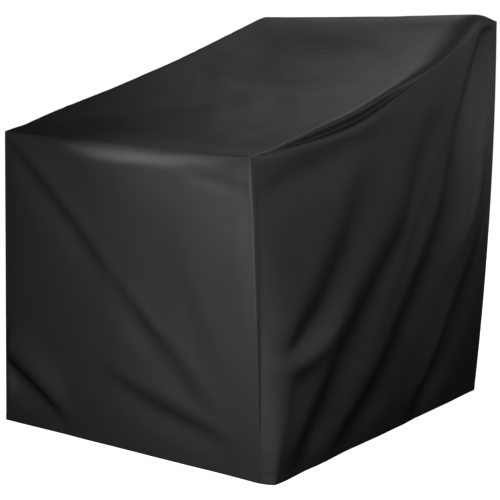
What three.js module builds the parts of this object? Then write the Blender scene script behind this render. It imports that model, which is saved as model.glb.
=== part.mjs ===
// A fitted cover for a stack of patio chairs: five sewn panels, hollow, open at the floor.
// Millimetres. +Z is up, -Y is the front, +X the right side; the origin is on the floor, midway.
// Each panel is one closed sheet on the folds in which it hangs, a seam's width from its neighbours.

import * as THREE from 'three';

// Driving dimensions
const FRONT_WIDTH = 692;
const DEPTH = 887;
const FRONT_HEIGHT = 641;
const SHEET = 2;
const SEAM_GAP = 0.36;

// Soft edges: how far a seam is drawn in, and over what length the cloth rolls out from it. The
// draw of a front or back edge falls off towards its corners, and a corner's starts above the hem.
const CORNER_DRAW = 1.5;
const CORNER_ROLL = 14;
const EDGE_DRAW = 3;
const FRONT_DRAW = 22;
const FRONT_ROLL = 44;
const SIDE_ROLL = 14;
const BACK_DRAW = 12;
const BACK_ROLL = 30;
const DRAW_POWER = 3;
const CORNER_START = 0.125;

// The left seam hangs a little below its edge, and the right one as the table of the top says
const LEAST_HANG = 0.5;
const UNDERCUT_END = 0.85;
const LEFT_HANG = 8;
const LEFT_HANG_WIDTH = 20;
const LEFT_HANG_START = 0.08;

// The roll of the right side dies out towards the back with this power of the distance
const ROLL_POWER = 1.3;

// How the folds die out at a seam, at the ends of the top and at the hem
const SEAM_FADE = 26;
const END_FADE = 0.05;
const HEM_FADE = 90;
const HEM_SHARE = 0.3;

// Facets of each panel
const COLUMNS = 28;
const STATIONS = 40;
const SHOWN_ROWS = 28;
const PLAIN_ROWS = 10;
const CROWDING_ACROSS = 0.7;
const CROWDING_BACK = 0.45;
const CROWDING_UP = 1.4;

const FRONT_Y = -DEPTH / 2;
const HALF_WIDTH = FRONT_WIDTH / 2;

// The four corner seams: where each starts at the top, where it meets the floor, and how far
// it bows out halfway up
const CORNER_SEAMS = {
  frontLeft: { topX: -HALF_WIDTH, footX: -354, footY: -453, bowX: 0, bowY: 0 },
  frontRight: { topX: HALF_WIDTH - EDGE_DRAW, footX: 350.5, footY: -420, bowX: 5, bowY: 0 },
  backRight: { topX: 337, footX: 315, footY: 418, bowX: 8, bowY: 8 },
  backLeft: { topX: -306, footX: -322, footY: 420, bowX: 0, bowY: 0 },
};

// A table with named columns, as one object to a row
function table(names, rows) {
  const keys = names.split(' ');
  return rows.map((row) => Object.fromEntries(keys.map((key, i) => [key, row[i]])));
}

// The top from front to back: height of its left and right edges, how far the middle sags, how
// far the right seam hangs below its edge, how far the edge lies inside the seam, and how far
// the cloth is drawn in between the two
const TOP_TABLE = table('y left right sag hang inset undercut', [
  [-443.5, FRONT_HEIGHT, FRONT_HEIGHT, 6, 0, 6, 0],
  [-374, 662, 647, 10, 5, 10, 1],
  [-300, 682, 663, 17, 15, 17, 5],
  [-220, 701, 681, 25, 26, 21, 8],
  [-139, 720, 700, 31, 34, 22, 9],
  [-65, 739, 718, 35, 36, 22, 9],
  [0, 756, 736, 36, 33, 23, 8],
  [64, 773, 755, 35, 28, 27, 5],
  [150, 798, 785, 30, 27, 34, 1],
  [230, 822, 817, 22, 29, 38, 0],
  [310, 846, 851, 12, 30, 40, 0],
  [350, 858, 874, 6, 30, 38, 0],
  [375.5, 864, 886, 3, 28, 34, 0],
  [410, 860, 882, 1, 16, 26, 0],
  [443.5, 848, 868, 0, 2, 16, 0],
]);

// The roll of the right side behind the front seam, by height: how far it stands out, and over
// what length behind the seam it gets there
const ROLL_TABLE = table('up out length', [
  [0, 30, 16],
  [60, 32, 26],
  [150, 34, 50],
  [250, 31, 75],
  [350, 25, 90],
  [500, 12, 80],
  [600, 4, 50],
  [641, 1, 30],
]);

// One fold: a smooth line of points (along, up) with, at each, the rise of the cloth on the line,
// less than 0 inwards, its lean, which is how steeply it rises towards the upper side of the line,
// and the widths in which it comes back to its plane above and below the line
const fold = (name, rows) => ({ name, line: table('along up rise lean above below', rows) });

const FRONT_FOLDS = [
  fold('long drag fold', [
    [-332, 624, 0, 0.12, 20, 24], [-290, 593, -1, 0.35, 24, 30], [-225, 540, -2, 0.52, 26, 34],
    [-160, 486, -2, 0.54, 28, 40], [-90, 425, -2, 0.50, 28, 40], [-32, 371, 0, 0.24, 26, 40],
    [16, 328, 0, 0.32, 26, 40], [70, 276, -1, 0.54, 26, 40], [128, 231, 0, 0.34, 28, 45],
    [178, 187, 0, 0.24, 28, 45], [232, 133, 0, 0.08, 24, 40],
  ]),
  fold('tuck at the left foot', [
    [-352, 146, -8, 0.7, 30, 50], [-325, 134, -8, 0.8, 30, 50], [-291, 118, -7, 0.8, 30, 46],
    [-250, 94, -6, 0.75, 28, 42], [-212, 70, -5, 0.6, 26, 40], [-180, 47, -3, 0.4, 24, 34],
    [-150, 22, -1, 0.2, 22, 28],
  ]),
  fold('low drag fold', [
    [-60, 164, 0, 0.08, 30, 40], [-15, 152, 0, 0.25, 30, 40], [25, 138, -1, 0.44, 30, 40],
    [86, 119, -2, 0.54, 32, 40], [150, 103, -2, 0.56, 32, 40], [209, 88, -2, 0.48, 28, 40],
    [262, 76, 0, 0.15, 24, 35],
  ]),
  fold('faint fold by the seam', [
    [156, 442, 0, 0.04, 40, 50], [205, 307, 0, 0.16, 36, 46], [248, 233, 0, 0.06, 36, 46],
  ]),
  fold('crease under the top', [
    [165, 603, -1, 0, 16, 18], [205, 595, -4, 0, 16, 18], [262, 586, -6, 0, 16, 18],
    [321, 580, -3, 0, 16, 18],
  ]),
  fold('dimple under the top', [
    [-190, 594, -3, 0, 35, 35], [-150, 585, -6, 0, 35, 35], [-110, 576, -3, 0, 35, 35],
  ]),
];

const RIGHT_FOLDS = [
  fold('drag fold from the back corner', [
    [-208, 4, -2, 0.14, 44, 50], [-185, 39, -3, 0.22, 50, 56], [-138, 92, -4, 0.29, 56, 62],
    [-74, 171, -4, 0.33, 60, 66], [-8, 236, -4, 0.35, 62, 68], [60, 307, -4, 0.35, 62, 70],
    [116, 370, -4, 0.34, 60, 70], [160, 441, -4, 0.33, 56, 70], [197, 503, -5, 0.33, 52, 66],
    [230, 565, -6, 0.33, 48, 64], [269, 645, -8, 0.32, 46, 62], [310, 720, -9, 0.31, 44, 56],
    [356, 805, -8, 0.27, 36, 46], [388, 859, -3, 0.12, 26, 30],
  ]),
  fold('ridge beside it', [
    [-218, 69, 2, 0, 26, 24], [-150, 145, 4, 0, 28, 26], [-87, 216, 6, 0, 30, 28],
    [-37, 281, 7, 0, 30, 28], [19, 346, 7, 0, 30, 28], [73, 414, 7, 0, 30, 28],
    [114, 473, 6, 0, 28, 26], [155, 533, 4, 0, 26, 24], [196, 595, 2, 0, 26, 24],
  ]),
  fold('deep fold of the lower side', [
    [-348, 8, -3, 0.18, 44, 46], [-326, 76, -6, 0.31, 52, 54], [-289, 140, -8, 0.36, 58, 60],
    [-237, 201, -8, 0.38, 60, 62], [-174, 265, -6, 0.35, 60, 64], [-121, 313, -4, 0.3, 60, 64],
    [-66, 358, -3, 0.23, 62, 66], [-22, 412, -2, 0.21, 64, 68], [12, 470, -2, 0.2, 66, 70],
    [42, 525, -1, 0.19, 66, 70], [75, 580, 0, 0.16, 64, 66], [117, 634, 0, 0.11, 60, 60],
    [160, 680, 0, 0.04, 50, 50],
  ]),
  fold('hollow that ends in a curl', [
    [-405, 272, 0, 0.08, 34, 26], [-378, 275, -3, 0.25, 54, 34], [-346, 294, -6, 0.33, 66, 44],
    [-301, 330, -7, 0.34, 70, 54], [-246, 378, -5, 0.29, 72, 60], [-199, 438, -3, 0.2, 72, 66],
    [-147, 506, 0, 0.13, 66, 66], [-96, 575, 0, 0.07, 60, 60], [-30, 630, 0, 0.02, 50, 50],
  ]),
  fold('lip of the curl', [
    [-400, 246, 3, 0, 22, 26], [-362, 233, 9, 0, 24, 28], [-306, 244, 11, 0, 26, 30],
    [-246, 268, 9, 0, 26, 30], [-198, 310, 5, 0, 26, 30], [-160, 355, 2, 0, 26, 30],
  ]),
  fold('band under the seam', [
    [-408, 590, -4, 0, 20, 24], [-333, 608, -8, 0, 24, 30], [-279, 621, -9, 0, 26, 32],
    [-226, 628, -9, 0, 26, 32], [-169, 634, -7, 0, 24, 30], [-76, 655, -3, 0, 20, 24],
  ]),
  fold('fold at the back foot', [
    [92, 4, -2, 0.16, 48, 50], [130, 60, -3, 0.26, 54, 56], [166, 106, -4, 0.31, 58, 60],
    [214, 165, -4, 0.34, 60, 60], [262, 228, -4, 0.34, 60, 60], [320, 291, -4, 0.33, 58, 56],
    [371, 358, -3, 0.28, 52, 50], [405, 425, -1, 0.18, 46, 42],
  ]),
  fold('ridge beside the back foot fold', [
    [170, 265, 3, 0, 30, 26], [224, 324, 6, 0, 34, 28], [280, 383, 8, 0, 36, 28],
    [331, 434, 8, 0, 36, 28], [362, 490, 5, 0, 34, 26], [380, 545, 1, 0, 30, 24],
  ]),
];

const LEFT_FOLDS = [
  fold('billow of the lower side', [
    [-260, 190, 36, 0, 190, 200], [-60, 230, 52, 0, 190, 200], [200, 210, 34, 0, 190, 200],
  ]),
  fold('drag fold from the back corner', [
    [-120, 40, -8, 0, 30, 80], [60, 240, -20, 0, 34, 80], [220, 470, -20, 0, 30, 80],
    [380, 770, -6, 0, 20, 50],
  ]),
  fold('fold of the front half', [
    [-330, 60, -7, 0, 28, 70], [-230, 190, -17, 0, 30, 70], [-110, 380, -11, 0, 28, 70],
    [-30, 560, -3, 0, 24, 50],
  ]),
  fold('fold at the back foot', [
    [200, 70, -8, 0, 30, 60], [310, 220, -16, 0, 30, 60], [400, 390, -5, 0, 26, 50],
  ]),
];

const BACK_FOLDS = [
  fold('fold from the left corner', [
    [-250, 760, -4, 0, 26, 60], [-150, 520, -12, 0, 32, 80], [-80, 250, -14, 0, 34, 80],
    [-50, 60, -6, 0, 30, 60],
  ]),
  fold('fold towards the right foot', [
    [40, 640, -3, 0, 28, 60], [120, 400, -10, 0, 30, 70], [210, 160, -13, 0, 32, 70],
    [250, 40, -5, 0, 28, 50],
  ]),
  fold('belly of the panel', [
    [-160, 420, 8, 0, 260, 260], [160, 420, 8, 0, 260, 260],
  ]),
];

// Folds of the top, with up standing for the distance towards the back
const TOP_FOLDS = [
  fold('pull from the front left corner', [
    [-320, -380, -2, 0, 30, 60], [-200, -250, -5, 0, 30, 60], [-60, -60, -3, 0, 30, 60],
  ]),
  fold('pull towards the right of the crest', [
    [60, 60, -2, 0, 60, 60], [170, 200, -4, 0, 60, 60], [250, 310, -2, 0, 60, 60],
  ]),
];

const CLOTH = { color: 0x26272a, roughness: 0.62, metalness: 0 };

const clamp01 = (value) => Math.min(1, Math.max(0, value));
const mix = (from, to, share) => from + (to - from) * share;

// 0 at the start, 1 from the end onwards, smooth at both
function smooth(start, end, value) {
  const share = clamp01((value - start) / (end - start));
  return share * share * (3 - 2 * share);
}

// 0 at a seam, 1 past the given length, steepest at the seam
function easeFromSeam(distance, length) {
  const left = 1 - clamp01(distance / length);
  return 1 - left * left;
}

// Smooth curve through one column of a table: cubic pieces, each with the slopes of its neighbours
function column(rows, from, name) {
  const slope = (i) => {
    const before = rows[Math.max(0, i - 1)];
    const after = rows[Math.min(rows.length - 1, i + 1)];
    return (after[name] - before[name]) / (after[from] - before[from]);
  };
  return (at) => {
    const last = rows.length - 2;
    const next = rows.findIndex((row, i) => i > 0 && at <= row[from]);
    const i = next < 0 ? last : next - 1;
    const span = rows[i + 1][from] - rows[i][from];
    const t = clamp01((at - rows[i][from]) / span);
    const t2 = t * t;
    const t3 = t2 * t;
    return (2 * t3 - 3 * t2 + 1) * rows[i][name] + (t3 - 2 * t2 + t) * span * slope(i)
      + (3 * t2 - 2 * t3) * rows[i + 1][name] + (t3 - t2) * span * slope(i + 1);
  };
}

const STEPS_PER_KNOT = 4;
const BEND_BLEND = 9;

// Rise of one fold at a place. Each step of its smooth line gives the rise of the step's nearest
// point, plus the lean times the distance to the upper side, all times a bell of the distance.
// Steps about as near as the nearest share in the rise, so that nothing jumps at a bend.
function foldLine({ line }) {
  const knots = line.map((row, i) => ({ ...row, knot: i }));
  const names = Object.keys(line[0]);
  const curves = names.map((name) => column(knots, 'knot', name));
  const place = (at) => Object.fromEntries(names.map((name, i) => [name, curves[i](at)]));
  const steps = (line.length - 1) * STEPS_PER_KNOT;
  const places = Array.from({ length: steps + 1 }, (_, i) => place(i / STEPS_PER_KNOT));
  return (along, up) => {
    const near = places.slice(1).map((end, i) => {
      const start = places[i];
      const stepAlong = end.along - start.along;
      const stepUp = end.up - start.up;
      const length = Math.hypot(stepAlong, stepUp);
      const reached = (along - start.along) * stepAlong + (up - start.up) * stepUp;
      const share = clamp01(reached / length ** 2);
      const toAlong = along - start.along - stepAlong * share;
      const toUp = up - start.up - stepUp * share;
      const away = Math.hypot(toAlong, toUp);
      const above = (stepAlong * toUp - stepUp * toAlong) / length;
      const tilt = away > 0 ? above / away : 0;
      const at = (name) => mix(start[name], end[name], share);
      const width = mix(at('below'), at('above'), 0.5 + 0.5 * tilt);
      return { away, rise: (at('rise') + at('lean') * above) * Math.exp(-((away / width) ** 2)) };
    });
    const nearest = Math.min(...near.map(({ away }) => away));
    const weights = near.map(({ away }) => Math.exp(-(((away - nearest) / BEND_BLEND) ** 2)));
    const shared = near.reduce((sum, { rise }, i) => sum + rise * weights[i], 0);
    return shared / weights.reduce((sum, weight) => sum + weight, 0);
  };
}

const foldRise = (folds) => {
  const lines = folds.map(foldLine);
  return (along, up) => lines.reduce((sum, line) => sum + line(along, up), 0);
};

// The top

const leftEdge = column(TOP_TABLE, 'y', 'left');
const rightEdge = column(TOP_TABLE, 'y', 'right');
const middleSag = column(TOP_TABLE, 'y', 'sag');
const rightHang = column(TOP_TABLE, 'y', 'hang');
const rightInset = column(TOP_TABLE, 'y', 'inset');
const rightUndercut = column(TOP_TABLE, 'y', 'undercut');
const topRise = foldRise(TOP_FOLDS);

const drawn = (middle, across) => mix(middle, EDGE_DRAW, Math.abs(2 * across - 1) ** DRAW_POWER);
const frontDraw = (across) => drawn(FRONT_DRAW, across);
const backDraw = (across) => drawn(BACK_DRAW, across);

// A place on the top: a hollow between its left and right edges. Past the right edge the cloth
// turns down to the seam, straight down at the seam, level at the edge, drawn in between the two.
function topPoint(across, back) {
  const left = mix(CORNER_SEAMS.frontLeft.topX, CORNER_SEAMS.backLeft.topX, back);
  const right = mix(CORNER_SEAMS.frontRight.topX, CORNER_SEAMS.backRight.topX, back);
  const level = FRONT_Y + DEPTH * back;
  const inset = rightInset(level);
  const hang = Math.max(rightHang(level), LEAST_HANG);
  const turn = inset + hang;
  const fromSeam = (1 - across) * (right - left);
  const share = clamp01(fromSeam / turn);
  const inwards = inset * share ** (turn / inset)
    + rightUndercut(level) * Math.sin(Math.PI * clamp01(share / UNDERCUT_END)) ** 2
    + Math.max(fromSeam - turn, 0) * (right - left - inset) / (right - left - turn);
  const x = right - inwards;
  const y = mix(FRONT_Y + frontDraw(across), -FRONT_Y - backDraw(across), back);
  const leftHang = LEFT_HANG * smooth(0, LEFT_HANG_START, back) * (1 - easeFromSeam(x - left, LEFT_HANG_WIDTH));
  const inside = smooth(0, SEAM_FADE, right - x) * smooth(0, SEAM_FADE, x - left)
    * smooth(0, END_FADE, back) * smooth(0, END_FADE, 1 - back);
  const z = mix(leftEdge(level), rightEdge(level), across)
    - middleSag(level) * (1 - (2 * across - 1) ** 2)
    - hang * (1 - share) ** (turn / hang)
    - leftHang
    + topRise(x, level) * inside;
  return new THREE.Vector3(x, y, z);
}

// A wall hangs from its edge of the top. It is drawn in at its seams and rolls out from them,
// and its folds die out towards them.
function wallPoint(wall, share, height) {
  const top = wall.top(share);
  const foot = wall.foot(share);
  const point = foot.point.lerp(top, height).addScaledVector(foot.bow, 4 * height * (1 - height));
  const along = wall.along(point);
  const fromCorner = Math.min(share, 1 - share) * wall.length;
  const belowTop = (1 - height) * top.z;
  const corner = easeFromSeam(fromCorner, CORNER_ROLL);
  const roll = easeFromSeam(belowTop, wall.roll);
  const out = corner * (wall.draw(share) * (roll - 1 + height)
    + CORNER_DRAW * roll * clamp01(height / CORNER_START));
  const fade = smooth(0, SEAM_FADE, fromCorner) * smooth(0, SEAM_FADE, belowTop)
    * mix(HEM_SHARE, 1, smooth(0, HEM_FADE, point.z));
  const bend = wall.rise(along, point.z) * fade + wall.standsOut(along, point.z);
  return point.addScaledVector(wall.outward, out + bend);
}

// The foot of a wall between two corner seams, and the bow of its cloth there
const footBetween = (from, to) => (share) => ({
  point: new THREE.Vector3(mix(from.footX, to.footX, share), mix(from.footY, to.footY, share), 0),
  bow: new THREE.Vector3(mix(from.bowX, to.bowX, share), mix(from.bowY, to.bowY, share), 0),
});

const staysPlain = () => 0;
const evenDraw = () => EDGE_DRAW;
const rollOut = column(ROLL_TABLE, 'up', 'out');
const rollLength = column(ROLL_TABLE, 'up', 'length');

// How far the right side stands out: its roll behind the front seam, which dies out to the back
function rightRoll(y, z) {
  const { frontRight, backRight } = CORNER_SEAMS;
  const back = clamp01((y - frontRight.footY) / (backRight.footY - frontRight.footY));
  return rollOut(z) * (1 - back ** ROLL_POWER) * easeFromSeam(back * DEPTH, rollLength(z));
}

const WALLS = {
  front_panel: {
    top: (share) => topPoint(share, 0),
    foot: footBetween(CORNER_SEAMS.frontLeft, CORNER_SEAMS.frontRight),
    along: (point) => point.x,
    outward: new THREE.Vector3(0, -1, 0),
    length: FRONT_WIDTH,
    roll: FRONT_ROLL,
    draw: frontDraw,
    rise: foldRise(FRONT_FOLDS),
    standsOut: staysPlain,
    rows: SHOWN_ROWS,
    flip: false,
    leans: 'left',
  },
  right_side_panel: {
    top: (share) => topPoint(1, share),
    foot: footBetween(CORNER_SEAMS.frontRight, CORNER_SEAMS.backRight),
    along: (point) => point.y,
    outward: new THREE.Vector3(1, 0, 0),
    length: DEPTH,
    roll: SIDE_ROLL,
    draw: evenDraw,
    rise: foldRise(RIGHT_FOLDS),
    standsOut: rightRoll,
    rows: SHOWN_ROWS,
    flip: false,
    leans: 'right',
  },
  left_side_panel: {
    top: (share) => topPoint(0, share),
    foot: footBetween(CORNER_SEAMS.frontLeft, CORNER_SEAMS.backLeft),
    along: (point) => point.y,
    outward: new THREE.Vector3(-1, 0, 0),
    length: DEPTH,
    roll: SIDE_ROLL,
    draw: evenDraw,
    rise: foldRise(LEFT_FOLDS),
    standsOut: staysPlain,
    rows: PLAIN_ROWS,
    flip: true,
    leans: 'right',
  },
  back_panel: {
    top: (share) => topPoint(share, 1),
    foot: footBetween(CORNER_SEAMS.backLeft, CORNER_SEAMS.backRight),
    along: (point) => point.x,
    outward: new THREE.Vector3(0, 1, 0),
    length: FRONT_WIDTH,
    roll: BACK_ROLL,
    draw: backDraw,
    rise: foldRise(BACK_FOLDS),
    standsOut: staysPlain,
    rows: PLAIN_ROWS,
    flip: true,
    leans: 'left',
  },
};

// Shares from 0 to 1 that lie closer together near both ends
function denserAtEnds(count, strength) {
  return Array.from({ length: count + 1 }, (_, i) => {
    const even = i / count;
    return mix(even, (1 - Math.cos(Math.PI * even)) / 2, strength);
  });
}

// Shares from the hem to the top seam that lie closer together near the seam
function denserAtTop(count) {
  return Array.from({ length: count + 1 }, (_, i) => 1 - (1 - i / count) ** CROWDING_UP);
}

const ACROSS = denserAtEnds(COLUMNS, CROWDING_ACROSS);
const BACKWARDS = denserAtEnds(STATIONS, CROWDING_BACK);

// Outward direction of a surface, from the points just beside a place on it
const PROBE = 0.002;
function surfaceNormal(surface, flip, a, b) {
  const a0 = Math.max(0, a - PROBE);
  const a1 = Math.min(1, a + PROBE);
  const b0 = Math.max(0, b - PROBE);
  const b1 = Math.min(1, b + PROBE);
  const acrossStep = surface(a1, b).sub(surface(a0, b));
  const upStep = surface(a, b1).sub(surface(a, b0));
  const normal = acrossStep.cross(upStep).normalize();
  return flip ? normal.negate() : normal;
}

const topNormal = (across, back) => surfaceNormal(topPoint, false, across, back);
const wallNormal = (wall, share, height) => (
  surfaceNormal((a, b) => wallPoint(wall, a, b), wall.flip, share, height)
);

// At a seam both panels take the same direction, halfway between the two, so that their cut
// edges stay parallel. A corner seam keeps one direction all the way up.
const TOP_SEAMS = [
  { wall: 'front_panel', on: (across, back) => back === 0, share: (across) => across },
  { wall: 'back_panel', on: (across, back) => back === 1, share: (across) => across },
  { wall: 'left_side_panel', on: (across) => across === 0, share: (across, back) => back },
  { wall: 'right_side_panel', on: (across) => across === 1, share: (across, back) => back },
];

const TOP_CORNER_RISE = 0.5;
function cornerDirection(across, back, rise) {
  return new THREE.Vector3(across - 0.5, back - 0.5, rise).normalize();
}

function topSheetNormal(across, back) {
  const seams = TOP_SEAMS.filter((seam) => seam.on(across, back));
  if (seams.length === 2) {
    return cornerDirection(across, back, TOP_CORNER_RISE);
  }
  const normal = topNormal(across, back);
  seams.forEach((seam) => normal.add(wallNormal(WALLS[seam.wall], seam.share(across, back), 1)));
  return normal.normalize();
}

function wallSheetNormal(name, share, height) {
  const seam = TOP_SEAMS.find((entry) => entry.wall === name);
  const isAcross = seam.share(1, 0) === 1;
  const end = name === 'back_panel' || name === 'right_side_panel' ? 1 : 0;
  const [across, back] = isAcross ? [share, end] : [end, share];
  if (height === 1) {
    return topSheetNormal(across, back);
  }
  if (share === 0 || share === 1) {
    return cornerDirection(across, back, 0);
  }
  return wallNormal(WALLS[name], share, height);
}

// A closed sheet from a grid of outer points and their directions: the outer face, the inner
// face a sheet's thickness behind it, and a rim. Edges sewn to a neighbour are cut back.
function sheetGeometry(grid, flip, leans, sewnBottom) {
  const rows = grid.length;
  const columns = grid[0].length;
  const cut = SEAM_GAP / 2;
  const outer = grid.map((row, j) => row.map(({ point }, i) => {
    const moved = point.clone();
    const towards = (jj, ii) => moved.addScaledVector(
      grid[jj][ii].point.clone().sub(point).normalize(),
      cut,
    );
    if (i === 0) towards(j, 1);
    if (i === columns - 1) towards(j, columns - 2);
    if (j === 0 && sewnBottom) towards(1, i);
    if (j === rows - 1) towards(rows - 2, i);
    return moved;
  }));
  const inner = outer.map((row, j) => row.map((point, i) => (
    point.clone().addScaledVector(grid[j][i].normal, -SHEET)
  )));
  const positions = [...outer, ...inner].flat().flatMap((point) => point.toArray());
  const at = (layer, j, i) => (layer * rows + j) * columns + i;
  const triangles = [];
  const quad = (a, b, c, d) => {
    if (leans === 'right') {
      triangles.push(...(flip ? [a, c, b, a, d, c] : [a, b, c, a, c, d]));
    } else {
      triangles.push(...(flip ? [a, d, b, b, d, c] : [a, b, d, b, c, d]));
    }
  };
  for (let j = 0; j + 1 < rows; j += 1) {
    for (let i = 0; i + 1 < columns; i += 1) {
      quad(at(0, j, i), at(0, j, i + 1), at(0, j + 1, i + 1), at(0, j + 1, i));
      quad(at(1, j, i), at(1, j + 1, i), at(1, j + 1, i + 1), at(1, j, i + 1));
    }
    quad(at(1, j, 0), at(0, j, 0), at(0, j + 1, 0), at(1, j + 1, 0));
    quad(at(0, j, columns - 1), at(1, j, columns - 1), at(1, j + 1, columns - 1), at(0, j + 1, columns - 1));
  }
  for (let i = 0; i + 1 < columns; i += 1) {
    quad(at(1, 0, i), at(1, 0, i + 1), at(0, 0, i + 1), at(0, 0, i));
    quad(at(0, rows - 1, i), at(0, rows - 1, i + 1), at(1, rows - 1, i + 1), at(1, rows - 1, i));
  }
  const geometry = new THREE.BufferGeometry();
  geometry.setAttribute('position', new THREE.Float32BufferAttribute(positions, 3));
  geometry.setIndex(triangles);
  geometry.computeVertexNormals();
  return geometry;
}

function panelMesh(name, geometry) {
  const mesh = new THREE.Mesh(geometry, new THREE.MeshStandardMaterial(CLOTH));
  mesh.name = name;
  return mesh;
}

function topPanel() {
  const grid = BACKWARDS.map((back) => ACROSS.map((across) => ({
    point: topPoint(across, back),
    normal: topSheetNormal(across, back),
  })));
  return panelMesh('top_panel', sheetGeometry(grid, false, 'right', true));
}

function wallPanel(name) {
  const wall = WALLS[name];
  const shares = wall.length === DEPTH ? BACKWARDS : ACROSS;
  const grid = denserAtTop(wall.rows).map((height) => shares.map((share) => ({
    point: wallPoint(wall, share, height),
    normal: wallSheetNormal(name, share, height),
  })));
  return panelMesh(name, sheetGeometry(grid, wall.flip, wall.leans, false));
}

const cover = new THREE.Group();
cover.add(topPanel());
Object.keys(WALLS).forEach((name) => cover.add(wallPanel(name)));

export default cover;
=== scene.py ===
"""Looks of a fitted cover: five panels of black coated cloth, sewn at their edges.

Shapes are worked out in millimetres, as in the part: +Z is up, -Y is the front, +X the right side.
"""

import math

import bpy
import numpy as np
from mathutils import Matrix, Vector


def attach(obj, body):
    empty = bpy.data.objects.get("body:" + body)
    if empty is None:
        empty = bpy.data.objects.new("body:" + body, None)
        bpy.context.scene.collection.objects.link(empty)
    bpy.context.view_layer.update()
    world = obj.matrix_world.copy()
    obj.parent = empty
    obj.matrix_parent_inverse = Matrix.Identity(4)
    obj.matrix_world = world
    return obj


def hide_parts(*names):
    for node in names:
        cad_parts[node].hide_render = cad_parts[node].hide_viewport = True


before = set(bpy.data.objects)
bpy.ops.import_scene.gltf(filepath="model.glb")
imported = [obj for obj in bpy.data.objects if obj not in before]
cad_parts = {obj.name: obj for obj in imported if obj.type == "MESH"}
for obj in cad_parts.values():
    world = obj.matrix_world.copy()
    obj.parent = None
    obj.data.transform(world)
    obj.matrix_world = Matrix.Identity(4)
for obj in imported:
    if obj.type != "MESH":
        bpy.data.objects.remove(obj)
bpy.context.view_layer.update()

# A millimetre in metres
MM = 0.001

# Driving dimensions, as in the part
FRONT_WIDTH = 692
DEPTH = 887
FRONT_HEIGHT = 641
FRONT_Y = -DEPTH / 2
HALF_WIDTH = FRONT_WIDTH / 2

# Soft edges: how far a seam is drawn in, and over what length the cloth rolls out from it. The
# draw of the front and back edges falls off towards their corners with a power of the distance
# from the middle, and that of the right edge dies out between two shares of the way back. A
# corner's draw is full from a share of the height up
CORNER_DRAW = 0.4
CORNER_ROLL = 14
SOFT_CORNER_ROLL = 40
EDGE_DRAW = 3
RIGHT_DRAW_ENDS = (0.4, 0.62)
FRONT_DRAW = 22
FRONT_ROLL = 44
SIDE_ROLL = 14
BACK_DRAW = 12
BACK_ROLL = 30
DRAW_POWER = 3
CORNER_START = 0.125

# The roll of the right side dies out towards the back with this power of the distance
ROLL_POWER = 1.3

# How the folds die out at a seam, at the ends of the top and at the hem, where a share is left
SEAM_FADE = 26
END_FADE = 0.05
HEM_FADE = 90
HEM_SHARE = 0.3

# Seams: a groove over each, except where the cloth is pulled smooth over it
SEAM_GROOVE = 0.9
NO_GROOVE = 0
SEAM_GROOVE_WIDTH = 2.8


def table(names, rows):
    """A table with named columns, one array to a column."""
    return dict(zip(names.split(), np.array(rows, float).T, strict=True))


# The four corner seams: where each starts at the top, where it meets the floor, and how far it
# bows out halfway up
CORNER_SEAMS = {
    "front_left": {"top_x": -HALF_WIDTH, "foot": (-354, -453), "bow": (0, 0)},
    "front_right": {"top_x": HALF_WIDTH - EDGE_DRAW, "foot": (350.5, -420), "bow": (5, 0)},
    "back_right": {"top_x": 337, "foot": (315, 418), "bow": (8, 8)},
    "back_left": {"top_x": -306, "foot": (-322, 420), "bow": (0, 0)},
}

# The top from front to back: height of its left and right edges, how far the middle sags, how
# far the right seam hangs below its edge, how far the edge lies inside the seam, and how far
# the cloth is drawn in between the two
TOP_TABLE = table("y left right sag hang inset undercut", [
    (FRONT_Y, FRONT_HEIGHT, FRONT_HEIGHT, 6, 0, 6, 0),
    (-374, 662, 647, 10, 5, 10, 3),
    (-300, 682, 663, 17, 15, 17, 13),
    (-220, 701, 681, 25, 26, 21, 19),
    (-139, 720, 700, 31, 34, 22, 21),
    (-65, 739, 718, 35, 36, 22, 21),
    (0, 756, 736, 36, 33, 24, 17),
    (64, 773, 755, 35, 28, 34, 9),
    (150, 798, 785, 30, 27, 52, 1),
    (230, 822, 817, 22, 29, 64, 0),
    (310, 846, 851, 8.5, 30, 64, 0),
    (350, 858, 874, 5, 30, 54, 0),
    (368, 862.6, 883.6, 4, 29, 47, 0),
    (375.5, 864, 886, 3, 28, 44, 0),
    (386, 863.4, 885.4, 2, 24, 38, 0),
    (410, 860, 882, 1, 16, 26, 0),
    (-FRONT_Y, 848, 868, 0, 2, 16, 0),
])

# The roll of the right side behind the front seam, by height: how far it stands out, and over
# what length behind the seam it gets there
ROLL_TABLE = table("up out length", [
    (0, 30, 16),
    (60, 32, 26),
    (150, 34, 50),
    (250, 31, 75),
    (350, 25, 90),
    (500, 12, 80),
    (600, 4, 50),
    (FRONT_HEIGHT, 1, 30),
])


def fold(*rows):
    """One fold: a smooth line of points (along, up), where along is the wall's own x or y. At each,
    it has the rise of the cloth on the line, less than 0 inwards, its lean, which is how steeply
    it rises towards the upper side of the line, and the widths in which it comes back to its
    plane above and below the line."""
    return table("along up rise lean above below", rows)


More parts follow.
